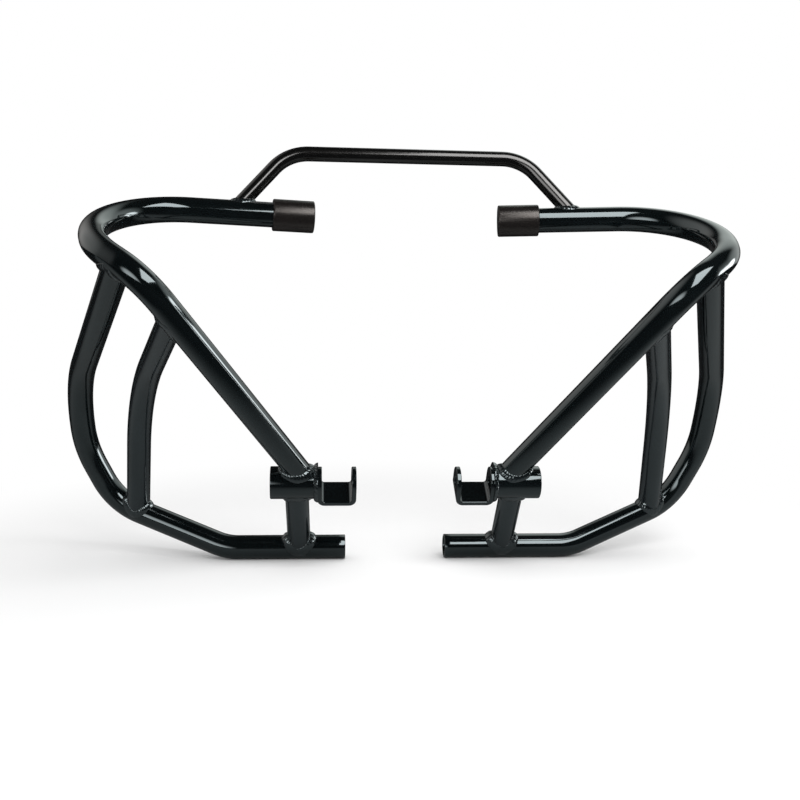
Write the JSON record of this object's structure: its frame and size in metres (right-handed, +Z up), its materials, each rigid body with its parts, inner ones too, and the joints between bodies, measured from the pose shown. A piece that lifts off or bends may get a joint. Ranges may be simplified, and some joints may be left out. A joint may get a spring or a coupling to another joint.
{
  "type": "motorcycle crash bars",
  "caption": "Mirrored pair of welded tube crash bars with lower hoops, slanted struts, a thin raised crossbar, upper bolt sleeves and folded lower brackets.",
  "frame": {"origin": "middle of the lower bolt axis, which runs through both bosses and both brackets", "axes": "+X to the part's right as the picture shows it, -Y to the front, +Z up"},
  "size_m": [0.6926, 0.2274, 0.4295],
  "materials": {
    "gloss_black_frame": "gloss",
    "gloss_black_struts": "gloss",
    "semi_gloss_black_bar": "semi-gloss",
    "satin_grey_sleeves": "satin",
    "painted_weld_bead": "gloss"
  },
  "bodies": {
    "root": {"left_main_tube": "gloss_black_frame", "right_main_tube": "gloss_black_frame", "left_lower_hoop": "gloss_black_frame", "right_lower_hoop": "gloss_black_frame", "left_boss": "gloss_black_frame", "right_boss": "gloss_black_frame", "left_bracket": "gloss_black_frame", "right_bracket": "gloss_black_frame", "left_middle_strut": "gloss_black_struts", "right_middle_strut": "gloss_black_struts", "left_short_strut": "gloss_black_struts", "right_short_strut": "gloss_black_struts", "left_sleeve": "satin_grey_sleeves", "right_sleeve": "satin_grey_sleeves", "left_hoop_weld": "painted_weld_bead", "right_hoop_weld": "painted_weld_bead", "left_strut_welds": "painted_weld_bead", "right_strut_welds": "painted_weld_bead", "left_boss_welds": "painted_weld_bead", "right_boss_welds": "painted_weld_bead", "crossbar": "semi_gloss_black_bar", "crossbar_welds": "painted_weld_bead"}
  },
  "joints": []
}
